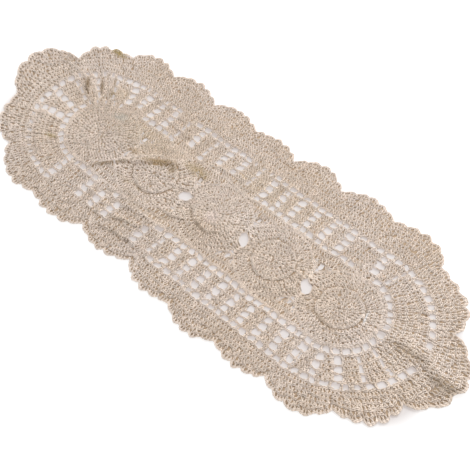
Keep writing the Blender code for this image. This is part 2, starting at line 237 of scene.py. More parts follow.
# the rim in a quarter turn from the row, where two neighbours are joined at two points and leave a
# diamond between them: (degrees, radius towards a neighbour)
JOIN_RIM = ((0, 0), (5.8, 0.6), (9.6, 54.0), (21, 56.8), (33, 55.0), (45, 52.6), (90, 52.4))
DIAMONDS = (51.0, 44.6, 46.4, 45.4)  # and in line with the row, at each of the four joins
ROUND_TO = 37.0               # how far out a medallion is still truly round


def medallion_place(number):
    """Where a medallion's points lie, by their turn (1 is once round) and radius."""
    middle = (number - 2) * PITCH

    def place(turn, radius):
        angle = turn * 2 * math.pi
        off_row = np.degrees(np.abs(np.arctan2(np.abs(np.sin(angle)), np.cos(angle))))
        rim = np.full_like(angle, MEDALLION)
        for join, side in ((number, off_row < 90), (number - 1, off_row >= 90)):
            if 0 <= join < 4:
                degrees, reaches = np.array(JOIN_RIM).T
                reaches[:2] += DIAMONDS[join]
                rim = np.where(side, np.interp(np.minimum(off_row, 180 - off_row), degrees, reaches), rim)
        outer_share = np.clip((radius - ROUND_TO) / (MEDALLION - ROUND_TO), 0, 1.1)
        radius = radius + (rim - MEDALLION) * outer_share
        points = lie(middle + radius * np.cos(angle), radius * np.sin(angle))
        if number in RIDGED:
            points[..., 2] += RIDGE_HEIGHT * np.clip(RIDGE_REACH - np.abs(radius - RIDGE_LINE), 0, 1)
        rise = np.clip((radius - LIP_FROM) / (LIP_TOP - LIP_FROM), 0, 1)
        fall = np.clip((LIP_END - radius) / (LIP_END - LIP_TOP), 0, 1)
        points[..., 2] += LIP_HEIGHTS[number] * np.minimum(rise * rise * (3 - 2 * rise), fall)
        return points
    return place


# where the cotton has yellowed or been marked, where it is paler or greyer in patches, and
# painted shade in brown along its creases, folds and pleats and on the near sides of the third and
# fifth medallions, with one pale slit of painted light: (x, y, reach along, reach across, turn in
# degrees, colour, strength)
MARKS_AND_PAINTED_SHADE = ((-303, 113, 19, 7, 0, (0.46, 0.33, 0.12), 0.85), (-254, -63, 10, 4, 20, (0.50, 0.36, 0.12), 0.6),
         (-148, -4, 10, 6, 20, (0.48, 0.33, 0.18), 0.7), (-56, 30, 24, 9, 0, (0.56, 0.41, 0.20), 0.6),
         (-150, 24, 60, 30, 0, (0.70, 0.56, 0.38), 0.3), (40, 70, 80, 30, 0, (0.74, 0.60, 0.42), 0.25),
         # painted shade in brown along the creases over and beside the second medallion
         (-104, 4, 26, 6, 35, (0.50, 0.34, 0.16), 0.8), (-82, 8, 7, 9, 0, (0.46, 0.32, 0.16), 0.6),
         (-153, -41, 27, 2.6, 51, (0.46, 0.33, 0.20), 0.75),
         # painted shade in brown on the near side of the third medallion's dome
         (-13, -26, 14, 3, -40, (0.42, 0.30, 0.19), 0.6),
         (10, -35, 16, 3, -12, (0.42, 0.30, 0.19), 0.65), (31, -31, 10, 3, 40, (0.42, 0.30, 0.19), 0.55),
         # painted shade in brown on the near faces of the pleats at the back left, and a brown spot
         (-285, 36, 17, 4.5, -44, (0.40, 0.27, 0.15), 0.85),
         (-267, 47, 15, 3.5, -44, (0.43, 0.30, 0.17), 0.75),
         (-259, 68, 11, 2.4, -44, (0.45, 0.32, 0.18), 0.6), (-245, 48, 5, 5, 0, (0.44, 0.31, 0.16), 0.8),
         (-281, 47, 14, 5, -44, (0.90, 0.79, 0.70), 0.55), (-264, 61, 14, 5, -44, (0.90, 0.79, 0.70), 0.55),
         (-206, 28, 14, 8, 30, (0.66, 0.62, 0.54), 0.6), (-236, 60, 22, 10, 30, (0.70, 0.56, 0.38), 0.3),
         # painted shade in brown on the near side of the fold at the right end
         (322, 2, 34, 9, 6, (0.58, 0.45, 0.32), 0.45), (378, -5, 26, 10, 0, (0.46, 0.35, 0.23), 0.55),
         # painted shade in brown along the creases in front of the second medallion
         (-90, -64, 24, 6, -20, (0.58, 0.45, 0.32), 0.35), (-42, -62, 30, 8, 14, (0.60, 0.47, 0.34), 0.25),
         (-65, -117, 32, 2.5, 10, (0.54, 0.42, 0.30), 0.35), (-70, -96, 38, 3, 18, (0.54, 0.42, 0.30), 0.3),
         # the third medallion's paler middle, and a pale slit of painted light where the lit table shows
         # through a gap in the fifth medallion
         (12, -13, 11, 11, 0, (0.94, 0.81, 0.73), 0.8), (254, 6, 12, 1.6, 108, (0.95, 0.92, 0.90), 1.0),
         # painted shade in brown along the fifth medallion's near side, and along the crease below the
         # second medallion
         (215, -32, 30, 3.5, -8, (0.56, 0.42, 0.28), 0.5), (-110, -45, 34, 4, 5, (0.58, 0.45, 0.31), 0.4))
YELLOWED = np.array((0.97, 0.94, 0.885))   # what is left of each colour where the cotton has yellowed


def cotton(name, light, shade, bump):
    """Undyed cotton: light on top of the stitches, with painted shade in brown in between, a little uneven.
    """
    material = bpy.data.materials.new(name)
    material.use_nodes = True
    tree = material.node_tree
    shader = tree.nodes["Principled BSDF"]
    shader.inputs["Roughness"].default_value = 0.88
    shader.inputs["Specular IOR Level"].default_value = 0.25
    shader.inputs["Sheen Weight"].default_value = 0.25
    shader.inputs["Sheen Roughness"].default_value = 0.5
    place = node(tree, "ShaderNodeTexCoord").outputs["Object"]
    # each stitch's own random tone, and a point's height in its stitch, which sets the painted shade
    tone_and_shade = node(tree, "ShaderNodeSeparateXYZ", Vector=node(
        tree, "ShaderNodeAttribute", {"attribute_name": "tone_and_shade"}).outputs["Vector"])
    patches = node(tree, "ShaderNodeTexNoise", Vector=place, Scale=9.0, Detail=3.0)
    flecks = node(tree, "ShaderNodeTexNoise", Vector=place, Scale=480.0, Detail=2.0)
    mix = {"data_type": "RGBA"}
    warm = node(tree, "ShaderNodeMapRange", Value=patches.outputs["Fac"], From_Min=0.35, From_Max=0.65)
    tint = node(tree, "ShaderNodeMix", mix, _0=warm.outputs["Result"], _6=(*light, 1),
                _7=(*(light * YELLOWED), 1))
    # painted shade: the lower a point lies in its stitch, the more of the shade colour it takes
    painted_shade_share = node(tree, "ShaderNodeMapRange", Value=tone_and_shade.outputs["Y"], From_Min=0.75, From_Max=0.1)
    colour = node(tree, "ShaderNodeMix", mix, _0=painted_shade_share.outputs["Result"], _6=tint.outputs[2],
                  _7=(*shade, 1)).outputs[2]
    # marks over the cotton: stains and patches, and painted shade in brown along the creases and folds
    for x, y, along, across, turn, mark, strength in MARKS_AND_PAINTED_SHADE:
        spread = node(tree, "ShaderNodeMapping", {"vector_type": "TEXTURE"}, Vector=place,
                      Location=(x * MM, y * MM, 0), Rotation=(0, 0, math.radians(turn)),
                      Scale=(along * MM, across * MM, 1))
        edge = node(tree, "ShaderNodeVectorMath", {"operation": "LENGTH"}, _0=spread.outputs[0])
        soft = node(tree, "ShaderNodeMath", {"operation": "ADD"}, _0=edge.outputs["Value"],
                    _1=flecks.outputs["Fac"])
        part = node(tree, "ShaderNodeMapRange", Value=soft.outputs[0], From_Min=1.7, From_Max=0.8,
                    To_Max=strength)
        colour = node(tree, "ShaderNodeMix", mix, _0=part.outputs["Result"], _6=colour,
                      _7=(*mark, 1)).outputs[2]
    uneven = node(tree, "ShaderNodeMath", {"operation": "MULTIPLY_ADD"}, _0=tone_and_shade.outputs["X"],
                  _1=0.16, _2=0.92)
    speck = node(tree, "ShaderNodeMath", {"operation": "MULTIPLY_ADD"}, _0=flecks.outputs["Fac"],
                 _1=0.5, _2=0.75)
    value = node(tree, "ShaderNodeMath", {"operation": "MULTIPLY"}, _0=uneven.outputs[0],
                 _1=speck.outputs[0])
    final = node(tree, "ShaderNodeVectorMath", {"operation": "SCALE"}, _0=colour,
                 Scale=value.outputs[0])
    tree.links.new(final.outputs[0], shader.inputs["Base Color"])
    # the two plies wind round each strand: ply holds a point's place round it and along it
    ply = node(tree, "ShaderNodeSeparateXYZ", Vector=node(
        tree, "ShaderNodeAttribute", {"attribute_name": "ply"}).outputs["Vector"])
    run = node(tree, "ShaderNodeMath", {"operation": "MULTIPLY"}, _0=ply.outputs["Z"], _1=2.6)
    sine = node(tree, "ShaderNodeMath", {"operation": "SINE"}, _0=run.outputs[0])
    cosine = node(tree, "ShaderNodeMath", {"operation": "COSINE"}, _0=run.outputs[0])
    first = node(tree, "ShaderNodeMath", {"operation": "MULTIPLY"}, _0=sine.outputs[0],
                 _1=ply.outputs["X"])
    twist = node(tree, "ShaderNodeMath", {"operation": "MULTIPLY_ADD"}, _0=cosine.outputs[0],
                 _1=ply.outputs["Y"], _2=first.outputs[0])
    fuzz = node(tree, "ShaderNodeMath", {"operation": "MULTIPLY_ADD"}, _0=flecks.outputs["Fac"],
                _1=0.8, _2=twist.outputs[0])
    relief = node(tree, "ShaderNodeBump", Strength=bump, Distance=0.0003, Height=fuzz.outputs[0])
    tree.links.new(relief.outputs[0], shader.inputs["Normal"])
    return material


# a medallion's ground is the thin inside of the crochet: the yarn's inner loops, between the
# stitches' upper and under faces, in a darker tan that is painted shade, as they lie in the
# stitches' shade
INNER_TAN_IN_PAINTED_SHADE = (0.47, 0.34, 0.225)
inner_yarn_in_painted_shade = cotton("cotton yarn in the shade of the stitches", INNER_TAN_IN_PAINTED_SHADE, INNER_TAN_IN_PAINTED_SHADE, 0.3)
GROUND_DOWN, GROUND_THICK = 0.6, 0.5   # under the middle of the work, and how thick it is


def ground(name, ways, reaches, place, open_cells=frozenset()):
    """One thin sheet on lines of places (way, reach), with its open cells (line, column) cut out."""
    lines, columns = ways.shape
    sheet = bmesh.new()
    bmesh.ops.create_grid(sheet, x_segments=columns - 1, y_segments=lines - 1, size=1.0)
    points = place(ways, reaches)
    points[..., 2] += LEVEL - GROUND_DOWN
    at = [(round((v.co.y + 1) / 2 * (lines - 1)), round((v.co.x + 1) / 2 * (columns - 1)))
          for v in sheet.verts]
    cut = []
    for face in sheet.faces:
        corners = [at[vert.index] for vert in face.verts]
        if (min(c[0] for c in corners), min(c[1] for c in corners)) in open_cells:
            cut.append(face)
    for vert, (line, column) in zip(sheet.verts, at):
        vert.co = Vector(points[line, column]) * MM
    bmesh.ops.delete(sheet, geom=cut, context="FACES")
    bmesh.ops.remove_doubles(sheet, verts=sheet.verts[:], dist=1e-5)
    bmesh.ops.recalc_face_normals(sheet, faces=sheet.faces[:])
    upper = bmesh.ops.extrude_face_region(sheet, geom=sheet.faces[:], use_keep_orig=True)["geom"]
    bmesh.ops.translate(sheet, verts=[item for item in upper if isinstance(item, bmesh.types.BMVert)],
                        vec=(0, 0, GROUND_THICK * MM))
    bmesh.ops.recalc_face_normals(sheet, faces=sheet.faces[:])
    mesh = bpy.data.meshes.new(name)
    sheet.to_mesh(mesh)
    sheet.free()
    mesh.shade_smooth()
    mesh.materials.append(inner_yarn_in_painted_shade)
    piece = bpy.data.objects.new(name, mesh)
    bpy.context.collection.objects.link(piece)
    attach(piece, "root")
    return piece


# a half treble is two strands of yarn that cross, with a link of two legs on top
STRAND = 0.66                 # a strand's radius
STITCH = 3.8                  # a stitch's width, as it is made here
ROW = 10.0                    # and its height, before it is fitted to its row


def strand(stitch, path, radius):
    """One strand through the points (x, share of the row, y, z) of its path, closed at both ends."""
    turn, share, strip, along = (stitch.verts.layers.float[name]
                                 for name in ("turn", "share", "strip", "along"))
    number = 1 + max((vert[strip] for vert in stitch.verts), default=-1)
    places = [Vector((x, part * ROW + y, z)) for x, part, y, z in path]
    ways = [(places[min(i + 1, len(places) - 1)] - places[max(i - 1, 0)]).normalized()
            for i in range(len(places))]
    made = bmesh.ops.create_circle(stitch, cap_ends=True, segments=4, radius=radius,
                                   matrix=Matrix.Translation(places[0])
                                   @ ways[0].to_track_quat("Z", "Y").to_matrix().to_4x4())
    ring = made["verts"]
    for k, vert in enumerate(ring):
        vert[turn], vert[share], vert[strip], vert[along] = k, path[0][1], number, 0.0
    cap = ring[0].link_faces[0]
    length = 0.0
    for i in range(1, len(places)):
        out = bmesh.ops.extrude_face_region(stitch, geom=[cap, *cap.edges])["geom"]
        cap = next(item for item in out if isinstance(item, bmesh.types.BMFace))
        ring = [item for item in out if isinstance(item, bmesh.types.BMVert)]
        bend = ways[i - 1].rotation_difference(ways[i]).to_matrix()
        bmesh.ops.rotate(stitch, verts=ring, cent=places[i - 1], matrix=bend)
        bmesh.ops.translate(stitch, verts=ring, vec=places[i] - places[i - 1])
        length += (places[i] - places[i - 1]).length
        for vert in ring:
            vert[share], vert[along] = path[i][1], length


def new_stitch(paths, radius=STRAND):
    """Make a stitch of its strands, as points, faces and places on the bake's map."""
    stitch = bmesh.new()
    for name in ("turn", "share", "strip", "along"):
        stitch.verts.layers.float.new(name)
    for path in paths:
        strand(stitch, path, radius)
    bmesh.ops.recalc_face_normals(stitch, faces=stitch.faces[:])
    stitch.verts.index_update()
    read = {name: np.array([vert[stitch.verts.layers.float[name]] for vert in stitch.verts])
            for name in ("turn", "share", "strip", "along")}
    points = np.array([vert.co for vert in stitch.verts])
    faces = np.array([[vert.index for vert in face.verts] for face in stitch.faces])
    stitch.free()
    # on the map each strand has a strip of its own, with a lane for each of its four sides, and
    # its ends fold out over two of the lanes
    turns = read["turn"][faces]
    wraps = (turns.max(1) == 3) & (turns.min(1) == 0) & (np.ptp(read["along"][faces], axis=1) > 0)
    turns = turns + 4 * ((turns == 0) & wraps[:, None])
    ends = np.ptp(read["along"][faces], axis=1) == 0
    longest = read["along"].max()
    lift = read["along"][faces] / longest + 0.03 * (ends[:, None] & (turns >= 2))
    on_map = np.stack(((read["strip"][faces] + 0.08 + 0.21 * turns) / len(paths),
                       0.03 + 0.91 * lift), -1)
    angle = read["turn"] * math.pi / 2
    ply = np.stack((np.cos(angle), np.sin(angle), read["along"]), -1)
    low, high = points[:, 2].min(), points[:, 2].max()
    return {"x": points[:, 0], "share": read["share"], "y": points[:, 1] - read["share"] * ROW,
            "z": points[:, 2], "faces": faces, "map": on_map, "ply": ply,
            "height": (points[:, 2] - low) / (high - low)}


front_leg = ((-2.1, 1, -0.1, 0.2), (-0.8, 1, -0.95, 0.75), (0.8, 1, -1.15, 0.8), (1.8, 1, -0.7, 0.3))
back_leg = ((-1.8, 1, 0.55, 0.25), (-0.6, 1, 0.85, 0.65), (0.9, 1, 0.5, 0.7), (2.0, 1, 0.0, 0.25))
half_treble = new_stitch((
    ((-1.5, 0, 0.3, -0.2), (-0.8, 0.3, 0, 0.5), (0.75, 0.64, 0, 0.6), (1.5, 1, -0.7, 0.1)),
    ((1.5, 0, 0.3, -0.3), (0.8, 0.34, 0, 0.2), (-0.75, 0.68, 0, 0.1), (-1.5, 1, -0.7, 0.2)),
    front_leg, back_leg))
chain_link = new_stitch((front_leg, back_leg))

# how much one stitch differs from the next: its width and thickness, as shares of its own; how far
# it is set aside, leans, and lies further out or higher, in mm; and its top's turn, in degrees
WIDER, THICKER, ASIDE, LEAN, OUT, UP, TURNED = 0.08, 0.12, 0.38, 0.80, 0.42, 0.16, 13.0
GATHER = 0.84                 # how close a shell's stitches stand where they grow from
OFF_TABLE = 0.05              # the least height of any yarn over the table
rng = np.random.default_rng(7)


def worked(stitch, ways, widths, inner, outer, pace, place, shell=0, plump=1.0, uneven=1.0):
    """Work a stitch at each way round, from the inner line to the outer one, in shells or evenly."""
    count = len(ways)
    wider, aside, lean, out, thicker, up, turn = rng.normal(0, 1, (7, count, 1))
    x = plump * stitch["x"] * (widths[:, None] / STITCH) * (1 + WIDER * wider)
    x = x + uneven * (ASIDE * aside + LEAN * lean * (stitch["share"] - 0.5))
    if shell:
        off = ((np.arange(count) % shell) - (shell - 1) / 2)[:, None] * widths[:, None]
        x = x * (GATHER + (1 - GATHER) * stitch["share"]) - off * (1 - GATHER) * (1 - stitch["share"])
    way = ways[:, None] + x / pace(ways)[:, None]
    low, high = inner(way), outer(way)
    turned = stitch["x"] * np.sin(np.radians(TURNED) * turn * uneven)
    reach = low + stitch["share"] * (high - low) + stitch["y"] + turned + uneven * OUT * out
    points = place(way, reach)
    points[..., 2] += LEVEL + stitch["z"] * (1 + THICKER * thicker) + uneven * UP * up
    points[..., 2] = np.maximum(points[..., 2], OFF_TABLE)
    # each stitch's random tone, and each point's height in it, for the painted shade low in the stitch
    tone_and_shade = np.stack(np.broadcast_arrays(rng.uniform(0, 1, (count, 1)), stitch["height"]), -1)
    cells = math.ceil(math.sqrt(count))
    cell = np.stack(np.divmod(np.arange(count), cells), -1)[:, None, None]
    return {"points": points, "faces": stitch["faces"], "tone_and_shade": tone_and_shade,
            "ply": np.broadcast_to(stitch["ply"], points.shape),
            "map": (cell + stitch["map"]) / cells}


# the yarn's own colour on top of the stitches, and a browner painted shade low between them
yarn = cotton("cotton yarn", (0.88, 0.765, 0.675), (0.62, 0.49, 0.375), 0.5)


def crocheted(name, parts):
    """Join worked stitches into one piece."""
    mesh = bpy.data.meshes.new(name)
    points = np.concatenate([part["points"].reshape(-1, 3) for part in parts]) * MM
    starts = np.cumsum([0] + [part["points"].shape[0] * part["points"].shape[1] for part in parts])
    faces = np.concatenate([
        (part["faces"][None] + start
         + np.arange(part["points"].shape[0])[:, None, None] * part["points"].shape[1]).reshape(-1, 4)
        for part, start in zip(parts, starts)])
    mesh.vertices.add(len(points))
    mesh.vertices.foreach_set("co", points.ravel())
    mesh.loops.add(faces.size)
    mesh.loops.foreach_set("vertex_index", faces.ravel())
    mesh.polygons.add(len(faces))
    mesh.polygons.foreach_set("loop_start", np.arange(0, faces.size, 4))
    mesh.update(calc_edges=True)
    mesh.polygons.foreach_set("use_smooth", np.ones(len(faces), bool))
    ply = mesh.attributes.new("ply", "FLOAT_VECTOR", "POINT")
    ply.data.foreach_set("vector", np.concatenate([part["ply"].reshape(-1, 3) for part in parts]).ravel())
    tone_and_shade = np.concatenate([part["tone_and_shade"].reshape(-1, 2) for part in parts])
    tone_and_shade = np.concatenate((tone_and_shade, np.zeros((len(tone_and_shade), 1))), 1)
    mesh.attributes.new("tone_and_shade", "FLOAT_VECTOR", "POINT").data.foreach_set("vector", tone_and_shade.ravel())
    bands = len(parts)
    on_map = np.concatenate([
        (part["map"].reshape(-1, 2) * (1, 1 / bands) + (0, k / bands)) for k, part in enumerate(parts)])
    mesh.uv_layers.new(name="OFBake").data.foreach_set("uv", on_map.astype(np.float32).ravel())
    mesh.materials.append(yarn)
    piece = bpy.data.objects.new(name, mesh)
    bpy.context.collection.objects.link(piece)
    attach(piece, "root")
    return piece


def level(value):
    """The same value at every way round."""
    return lambda way: np.full_like(way, value)


# the ground's spokes, and its lines by radius, closest together where the lip rises
GROUND_SPOKES = 73
GROUND_RADII = (0, 3, 8, 13, 17, 21, 23.4, 25.8, 28.2, 30.6, 33, 36, 39, 43, 47, 51.2)
HALF_STITCH = 4.1             # a half treble's width, where a full round of them is worked
# lines between a medallion's rounds, by radius, and the narrow round that a raised chain replaces
MEDALLION_LINES = (1.2, 4.8, 10.5, 16.2, 21.9, 27.6, 31.3, 36.3, 41.5, 46.6, 51.7)
RIDGE_ROUND = (27.6, 31.3)
PLUMP = (0.92, 1.0, 1.0, 1.0, 1.0)   # how full the stitches of each medallion are

for number in range(5):
    place = medallion_place(number)
    ways, radii = np.meshgrid(np.linspace(0, 1, GROUND_SPOKES), GROUND_RADII)
    sheet = ground(f"medallion_{number + 1}_ground", ways, radii, place)
    rounds = [(half_treble, *lines) for lines in zip(MEDALLION_LINES, MEDALLION_LINES[1:])
              if lines != RIDGE_ROUND or number not in RIDGED]
    if number in RIDGED:
        rounds.append((chain_link, RIDGE_LINE, RIDGE_LINE))
    parts = []
    for stitch, inner, outer in rounds:
        once_round = 2 * math.pi * (inner + outer) / 2
        count = round(once_round / HALF_STITCH)
        turns = (np.arange(count) + rng.uniform()) / count
        parts.append(worked(stitch, turns, np.full(count, once_round / count), level(inner),
                            level(outer), level(once_round), place, plump=PLUMP[number]))
    stitches = crocheted(f"medallion_{number + 1}_stitches", parts)
    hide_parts(f"medallion_{number + 1}")

# ---------------------------------------------------------------------------------------------
# The surround's ground. All that lies outside the medallions is one fabric of the same cotton,
# worked round their row: an inner mesh, three ladder rounds, an outer mesh and the edging. Its
# ground is the thin inside of all this, in the darker tan of painted shade, with the holes that
# stand open cut out.

# A place on the fabric is a way round, 0 to 1 along the front, 1 to 2 round the right end, 2 to 3
# along the back and 3 to 4 round the left end, and a reach out from the row.
SIDE = 4 * PITCH              # the straight part on each long side
END_REACH, END_STRETCH = 60.0, 0.28   # the ends' outer rounds are stretched along the runner

# holed rounds: (name, inner reach, outer reach, holes a side, holes an end, hole width)
HOLE_ROUNDS = (("mesh", 56.0, 64.6, 32, 16, 11.8), ("ladder", 67.0, 76.6, 16, 10, 13.0),
               ("ladder", 78.3, 87.6, 16, 10, 13.0), ("ladder", 89.3, 98.2, 16, 10, 13.0),
               ("outer mesh", 99.9, 107.5, 32, 26, 11.6))
# stretches where the work is bunched: (round, from, to, how wide its holes still are), and the
# least of those that is still open
BUNCHED = (("mesh", 0.13, 0.20, 0.1), ("mesh", 0.225, 0.39, 0.1), ("mesh", 2.00, 2.06, 0.1),
           ("mesh", 2.455, 2.66, 0.1), ("mesh", 2.70, 2.79, 0.1), ("mesh", 2.95, 3.12, 0.1),
           ("mesh", 3.12, 3.40, 0.35), ("ladder", 0.05, 0.08, 0.1), ("ladder", 0.30, 0.33, 0.1),
           ("ladder", 0.42, 0.45, 0.5), ("ladder", 1.22, 1.45, 0.42), ("ladder", 1.45, 1.85, 0.1),
           ("ladder", 1.85, 1.97, 0.4), ("ladder", 2.04, 2.08, 0.1), ("ladder", 2.49, 2.51, 0.45),
           ("ladder", 2.68, 2.70, 0.4), ("ladder", 2.80, 2.82, 0.4), ("ladder", 3.19, 3.42, 0.38),
           ("ladder", 3.69, 3.91, 0.1), ("outer mesh", 0.03, 0.46, 0.1), ("outer mesh", 1.49, 1.55, 0.1),
           ("outer mesh", 2.45, 2.54, 0.4), ("outer mesh", 2.80, 2.87, 0.1),
           ("outer mesh", 2.93, 3.05, 0.4), ("outer mesh", 3.20, 3.39, 0.45),
           ("outer mesh", 3.62, 3.87, 0.4))
LEAST_OPEN = 0.3
HOLE_SHIFT, HOLE_WIDTHS = 0.5, (0.84, 1.06)   # how uneven they are: set aside, in mm, and in width
# scallops of the shell edging: (way of its first notch, reach of that notch, reach of its crown)
SCALLOPS = np.array((
    (0.015, 134, 143), (0.228, 122, 138), (0.426, 122, 143), (0.617, 135, 152), (0.805, 135, 146),
    (0.984, 129, 149), (1.190, 132, 143), (1.370, 128, 152), (1.643, 124, 144), (1.866, 139, 163),
    (2.065, 151, 166), (2.256, 144, 165), (2.450, 140, 160), (2.629, 148, 164), (2.811, 147, 165),
    (3.005, 145, 161), (3.173, 141, 147), (3.368, 131, 166), (3.604, 136, 146), (3.788, 130, 145)))
LOBES, LOBE_DEPTH, FULLNESS = 5, 5.2, 0.75
SHELLS_FROM, SHELLS_DEEP = 127.5, 9.0   # where the shells grow from, and how deep they are at least
WINDOW = MEDALLION + 0.3      # the surround's inner edge, past a medallion
ARC_END = 37.3                # how far from a medallion's middle, along the row, the edge is round
CUSP = ((0, 27.5), (2.6, 27.5), (15.9, 37.3))   # and into a join: (off the join, reach)
JOIN_HOLES, JOIN_HOLE = (-10.64, 0.0, 10.64), 7.0   # beside each join: (off the join), hole width


def on_surround(way, reach):
    """Where a point of the surround lies."""
    side = np.floor(way % 4)
    along = way % 4 - side
    sign = np.where(side < 2, 1, -1)
    angle = np.pi * (along - 0.5)
    far = reach + np.clip(reach - END_REACH, 0, None) * END_STRETCH * np.cos(angle)**2
    straight = side % 2 == 0
    x = np.where(straight, along * SIDE - SIDE / 2, SIDE / 2 + far * np.cos(angle))
    y = np.where(straight, -reach, far * np.sin(angle))
    return lie(sign * x, sign * y)


def mm_round(way, reach):
    """How far round a way is from the start of the front, in mm, at a reach."""
    end = math.pi * reach
    return np.interp(way, (-1, 0, 1, 2, 3, 4, 5), (-end, 0, SIDE, SIDE + end, 2 * SIDE + end,
                                                   2 * SIDE + 2 * end, 3 * SIDE + 2 * end))


def way_at(mm, reach):
    """The way that is so many mm round, at a reach."""
    end = math.pi * reach
    return np.interp(mm, (-end, 0, SIDE, SIDE + end, 2 * SIDE + end, 2 * SIDE + 2 * end,
                          3 * SIDE + 2 * end), (-1, 0, 1, 2, 3, 4, 5))


def window(way):
    """The reach of the surround's inner edge."""
    side = np.floor(way % 4)
    x = (way % 4 - side) * SIDE - SIDE / 2
    off_middle = np.abs(x - np.round(x / PITCH) * PITCH)
    arc = np.sqrt(WINDOW**2 - np.minimum(off_middle, ARC_END)**2)
    cusp = np.interp(PITCH / 2 - off_middle, *np.array(CUSP).T)
    return np.where(side % 2 == 1, WINDOW, np.where(off_middle < ARC_END, arc, cusp))


def at_join_hole(way):
    """Whether a way comes to one of the small holes that fan out beside a join, except the first two
    joins' on the front, where the work is bunched."""
    side = np.floor(way % 4)
    x = (way % 4 - side) * SIDE
    off_join = (x - PITCH / 2) - np.round((x - PITCH / 2) / PITCH) * PITCH
    near = np.min([np.abs(off_join - off) for off in JOIN_HOLES], axis=0) < JOIN_HOLE / 2
    bunched = (side == 0) & (x < 2 * PITCH)
    return (side % 2 == 0) & near & ~bunched


def rim(way, lobed=True):
    """The reach of the scalloped rim."""
    starts = SCALLOPS[:, 0]
    way = (way - starts[0]) % 4 + starts[0]
    k = np.clip(np.searchsorted(starts, way, "right") - 1, 0, len(starts) - 1)
    span = (np.roll(starts, -1)[k] - starts[k]) % 4
    part = np.clip((way - starts[k]) / span, 0, 1)
    bulge = np.sin(np.pi * part)
    low = SCALLOPS[k, 1] + (np.roll(SCALLOPS[:, 1], -1)[k] - SCALLOPS[k, 1]) * part
    reach = low + (SCALLOPS[k, 2] - low) * bulge**FULLNESS
    if lobed:
        reach = reach - LOBE_DEPTH * bulge**0.5 * (1 - np.abs(np.sin(np.pi * LOBES * part))**0.7)
    return reach


def shell_base(way):
    """The line that the edging's shells grow from."""
    return np.minimum(SHELLS_FROM, rim(way, lobed=False) - SHELLS_DEEP)


def holes_of(name, inner, outer, side_count, end_count, width):
    """A holed round's holes: (the way of one side, the way of the other, whether it stands open)."""
    reach = (inner + outer) / 2
    found = []
    for side in range(4):
        count = end_count if side % 2 else side_count
        for k in range(count):
            way = side + k / count
            share = min((part for row, start, end, part in BUNCHED
                         if name == row and start <= way <= end), default=1)
            mm = mm_round(way, reach) + rng.normal(0, HOLE_SHIFT)
            half = width * share / 2 * rng.uniform(*HOLE_WIDTHS)
            found.append((float(way_at(mm - half, reach)), float(way_at(mm + half, reach)),
                          share > LEAST_OPEN))
    return found


holes = [holes_of(*hole_round) for hole_round in HOLE_ROUNDS]

SIDE_COLUMNS, END_COLUMNS = 160, 80
TUCK = 0.7                    # how far the ground is held back behind the stitches at a hole
RIM_TUCK = 1.9                # and at the rim
INNER_TUCK, INNER_END = 0.6, 55.8   # where the ground starts past the window, and the mesh begins
OUTER_MESH_END = HOLE_ROUNDS[-1][2]
column_ways = np.concatenate([side + np.arange(n) / n for side, n in
                              enumerate((SIDE_COLUMNS, END_COLUMNS) * 2)] + [[4.0]])
cells = len(column_ways) - 1
inner_edge = window(column_ways) + INNER_TUCK
ground_lines = [inner_edge * (1 - share) + INNER_END * share
                for share in (0, 0.17, 0.33, 0.5, 0.66, 0.83)]
ground_ways = [column_ways] * len(ground_lines)
open_cells = {(line, cell) for line in (0, 1) for cell in range(cells)
              if at_join_hole(column_ways[cell] + 0.5 / SIDE_COLUMNS)}
# the columns nearest a hole's two sides are moved to them, and the cells in between are left open
for (_, inner, outer, *_), round_holes in zip(HOLE_ROUNDS, holes):
    ways = column_ways.copy()
    line = len(ground_lines)
    for start, end, is_open in round_holes:
        if not is_open:
            continue
        first, last = (round(float(np.interp(edge % 4, column_ways, np.arange(cells + 1))))
                       for edge in (start, end))
        if last == first:
            last += 1
        for column in range(first, last + cells * (last < first)):
            open_cells.update(((line, column % cells), (line + 1, column % cells)))
        ways[first], ways[last] = start % 4 - TUCK / SIDE, end + TUCK / SIDE
        if first in (0, cells):
            ways[0], ways[cells] = start - TUCK / SIDE, 4 + start - TUCK / SIDE
    for reach in (inner - TUCK, (inner + outer) / 2, outer + TUCK):
        ground_lines.append(np.full_like(ways, reach))
        ground_ways.append(ways)
shells_start = shell_base(column_ways)
ground_lines += [OUTER_MESH_END + (shells_start - OUTER_MESH_END) * share
                 for share in (0.2, 0.4, 0.6, 0.8, 1)]
ground_lines += [shells_start + (rim(column_ways) - RIM_TUCK - shells_start) * share
                 for share in (0.25, 0.5, 0.75, 1)]
ground_ways += [column_ways] * (len(ground_lines) - len(ground_ways))
surround_ground = ground("surround_ground", np.array(ground_ways), np.array(ground_lines),
                         on_surround, open_cells)
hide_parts("surround")

# ---------------------------------------------------------------------------------------------
# The inner mesh and the joins. Small blocks of half treble with chains between them are worked in
# a round past the row of medallions. A chain follows the medallions' rims, and short rows of half
# treble fill the corners on both sides of each join. The yarn is the same undyed cotton.

# lines between the inner mesh, the three ladder rounds, the outer mesh and the edging
ROUND_LINES = (55.2, 65.7, 77.6, 88.6, 99.1, 108.5)
# the yarn round a hole is worked in four quarters, which round off the hole's corners
LINING, LINING_STRAND, LINING_IN, LINING_OUT = 0.62, 0.42, 0.9, 0.5
quarter = [(math.cos(t)**LINING * STITCH / 2, math.sin(t)**LINING / 2) for t in
           (0, math.pi / 6, math.pi / 3, math.pi / 2 - 1e-9)]
hole_lining = new_stitch([[(dx * x, 0.5 + dy * s, 0, 0.1) for x, s in quarter]
                          for dx, dy in ((1, 1), (-1, 1), (-1, -1), (1, -1))], LINING_STRAND)


def pace_at(reach):
    """How many mm one way round is, at a reach."""
    return lambda way: np.where(np.floor(way % 4) % 2 == 0, SIDE, math.pi * reach)


def full_round(reach):
    """Evenly spaced ways all the way round at a reach, and their stitches' widths."""
    total = float(mm_round(4, reach))
    count = round(total / HALF_STITCH)
    ways = way_at((np.arange(count) + rng.uniform()) * total / count % total, reach)
    return ways, np.full(count, total / count)


